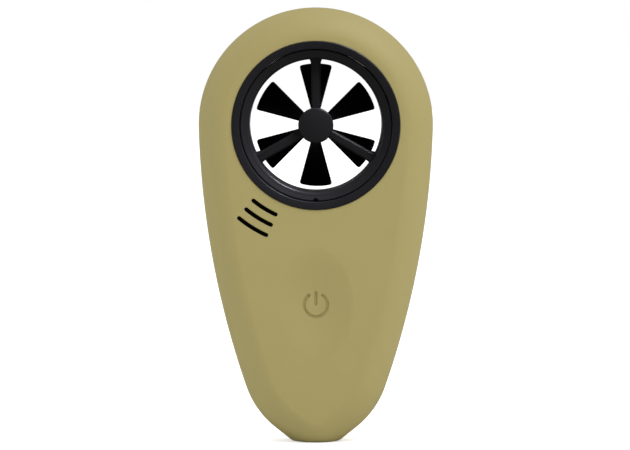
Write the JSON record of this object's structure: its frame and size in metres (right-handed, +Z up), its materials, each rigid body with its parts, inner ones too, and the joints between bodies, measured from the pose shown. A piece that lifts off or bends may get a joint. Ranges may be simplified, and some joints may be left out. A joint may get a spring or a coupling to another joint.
{
  "type": "handheld weather meter",
  "caption": "Teardrop handheld weather meter with a ducted wind impeller in its round head, curved vent slots, a dished thumb button, a coin-slot battery door and a tripod socket.",
  "frame": {"origin": "mouth of the tripod socket, at the centre of the flat foot and on the case's parting plane", "axes": "+Z up the body from the foot to the head, -Y out of the face with the thumb button, +X to the right of someone looking at the face"},
  "size_m": [0.058, 0.0183, 0.1074],
  "materials": {
    "shell": "soft-touch khaki plastic with a fine spark texture",
    "button": "khaki elastomer moulded into the face",
    "bezel": "satin black plastic",
    "duct": "satin black plastic",
    "wheel": "matt black plastic",
    "seal": "moulded rubber",
    "membrane": "porous black sheet",
    "steel": "plain",
    "brass": "turned",
    "jewel": "polished bearing jewel",
    "board": "green solder mask",
    "board_part": "moulded component bodies"
  },
  "bodies": {
    "casing": {"front_shell": "shell", "rear_shell": "shell", "case_seal": "seal", "case_screws": "steel", "front_bezel": "bezel", "rear_bezel": "bezel", "impeller_duct": "duct", "duct_seal": "seal", "hub_cap": "duct", "front_jewel": "jewel", "rear_spider": "duct", "rear_jewel": "jewel", "bearing_screw": "brass", "switch_base": "steel", "main_board": "board", "board_screws": "steel", "board_passives": "board_part", "radio_module": "steel", "wind_sensor": "board_part", "climate_sensor": "board_part", "pressure_sensor": "steel", "vent_membrane": "membrane", "sensor_gasket": "seal", "battery_cell": "steel", "battery_holder": "bezel", "battery_contact_neg": "brass", "battery_contact_pos": "brass", "tripod_insert": "brass"},
    "impeller": {"impeller_wheel": "wheel", "impeller_shaft": "steel", "impeller_magnet": "steel"},
    "button": {"thumb_button": "button", "button_plunger": "bezel", "switch_stem": "bezel"},
    "battery_door": {"battery_door": "shell", "door_seal": "seal", "battery_pad": "membrane"}
  },
  "joints": [
    {"name": "impeller_spin", "type": "hinge", "parent": "casing", "child": "impeller", "pos_m": [0, 0, 0.0784], "axis": [0, 1, 0], "continuous": true},
    {"name": "button_press", "type": "slide", "parent": "casing", "child": "button", "axis": [0, 1, 0], "range_m": [0, 0.0005], "stiffness_N_per_m": 600, "springref_m": -0.003},
    {"name": "battery_door_turn", "type": "hinge", "parent": "casing", "child": "battery_door", "pos_m": [0, 0, 0.0342], "axis": [0, 1, 0], "range_deg": [0, 60]}
  ]
}
